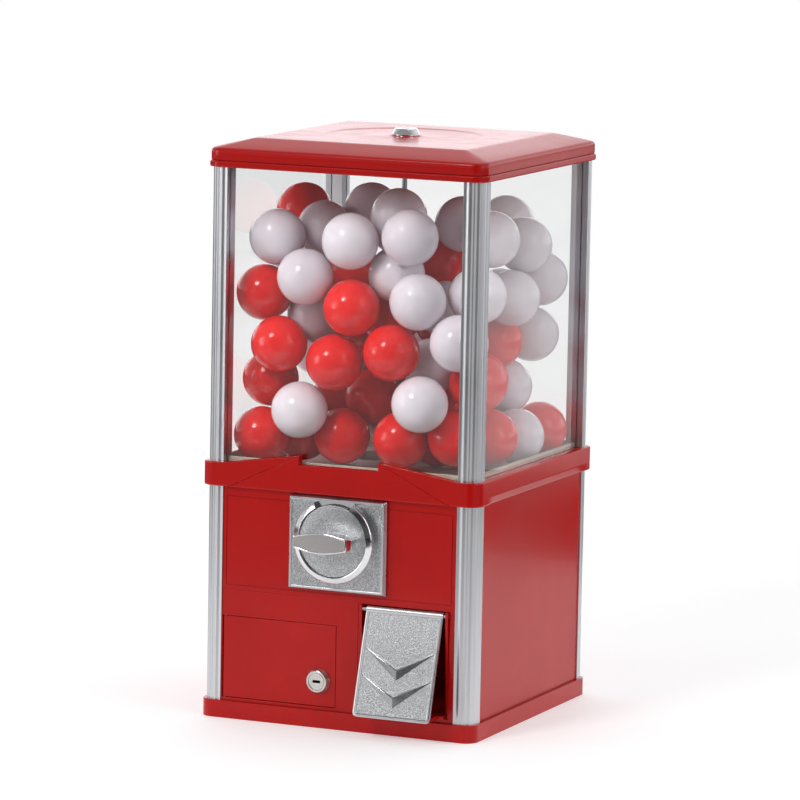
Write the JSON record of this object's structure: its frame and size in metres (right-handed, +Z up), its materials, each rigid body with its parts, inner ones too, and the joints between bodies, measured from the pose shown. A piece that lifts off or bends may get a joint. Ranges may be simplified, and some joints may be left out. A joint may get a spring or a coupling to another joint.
{
  "type": "gumball machine",
  "caption": "Square countertop gumball machine with a clear globe, a coin mechanism that turns a product wheel, a chute door, a cash door and a lifting lid.",
  "frame": {"origin": "centre of the base's underside, on the surface that the machine stands on", "axes": "+Z up, -Y is the front with the handle, +X to the right seen from the front"},
  "size_m": [0.24, 0.273, 0.4675],
  "materials": {
    "red_paint": "gloss",
    "post_aluminium": "satin",
    "clear_sheet": "gloss",
    "grey_plastic": "satin",
    "white_nylon": "matte",
    "cast_chrome": "hammered",
    "lock_chrome": "polished",
    "brass": "satin",
    "plain_steel": "satin",
    "red_ball": "gloss",
    "white_ball": "gloss"
  },
  "bodies": {
    "cabinet": {"base_tray": "red_paint", "lower_post_front_left": "post_aluminium", "lower_post_front_right": "post_aluminium", "lower_post_back_left": "post_aluminium", "lower_post_back_right": "post_aluminium", "upper_post_front_left": "post_aluminium", "upper_post_front_right": "post_aluminium", "upper_post_back_left": "post_aluminium", "upper_post_back_right": "post_aluminium", "front_panel": "red_paint", "left_panel": "red_paint", "right_panel": "red_paint", "back_panel": "red_paint", "mid_collar": "red_paint", "front_window": "clear_sheet", "left_window": "clear_sheet", "right_window": "clear_sheet", "back_window": "clear_sheet", "top_frame": "red_paint", "centre_rod": "plain_steel", "rod_nuts": "brass", "hopper_pan": "grey_plastic", "ball_guard": "grey_plastic", "coin_plate": "cast_chrome", "mech_housing": "plain_steel", "pawl_pin": "plain_steel", "chute": "red_paint", "chute_door_pin": "plain_steel", "cash_door_pins": "plain_steel", "cash_box": "plain_steel", "red_balls": "red_ball", "white_balls": "white_ball"},
    "lid_set": {"lid": "red_paint", "lid_lock_body": "lock_chrome"},
    "lid_plug": {"lid_lock_plug": "lock_chrome"},
    "handle_set": {"handle": "cast_chrome", "coin_carrier": "plain_steel", "handle_shaft": "plain_steel", "ratchet_wheel": "plain_steel", "drive_pinion": "white_nylon", "shaft_nut": "brass"},
    "wheel_set": {"product_wheel": "white_nylon"},
    "pawl_arm": {"pawl": "plain_steel"},
    "chute_flap": {"chute_door": "cast_chrome"},
    "cash_flap": {"cash_door": "red_paint", "lock_body": "lock_chrome"},
    "cash_cam": {"lock_plug": "lock_chrome", "lock_cam": "plain_steel"}
  },
  "joints": [
    {"name": "handle_turn", "type": "hinge", "parent": "cabinet", "child": "handle_set", "pos_m": [0, -0.116, 0.152], "axis": [0, 1, 0], "continuous": true},
    {"name": "wheel_turn", "type": "hinge", "parent": "cabinet", "child": "wheel_set", "pos_m": [0, 0, 0.186], "axis": [0, 0, 1], "continuous": true},
    {"name": "pawl_rock", "type": "hinge", "parent": "cabinet", "child": "pawl_arm", "pos_m": [0.0255, -0.107, 0.152], "axis": [0, -1, 0], "range_deg": [0, 10], "stiffness_Nm_per_rad": 0.02, "springref_deg": -5.73},
    {"name": "lid_lift", "type": "slide", "parent": "cabinet", "child": "lid_set", "axis": [0, 0, 1], "range_m": [0, 0.08]},
    {"name": "lid_lock_turn", "type": "hinge", "parent": "lid_set", "child": "lid_plug", "pos_m": [0, 0, 0.46], "axis": [0, 0, -1], "range_deg": [0, 90]},
    {"name": "chute_door_swing", "type": "hinge", "parent": "cabinet", "child": "chute_flap", "pos_m": [0.059, -0.117, 0.0989], "axis": [-1, 0, 0], "range_deg": [0, 60]},
    {"name": "cash_door_swing", "type": "hinge", "parent": "cabinet", "child": "cash_flap", "pos_m": [-0.0981, -0.1145, 0.05], "axis": [0, 0, -1], "range_deg": [0, 100]},
    {"name": "cash_lock_turn", "type": "hinge", "parent": "cash_flap", "child": "cash_cam", "pos_m": [-0.0156, -0.11, 0.0373], "axis": [0, -1, 0], "range_deg": [0, 90]}
  ],
  "couplings": [
    {"joint": "wheel_turn", "follows": "handle_turn", "ratio": 0.25}
  ]
}
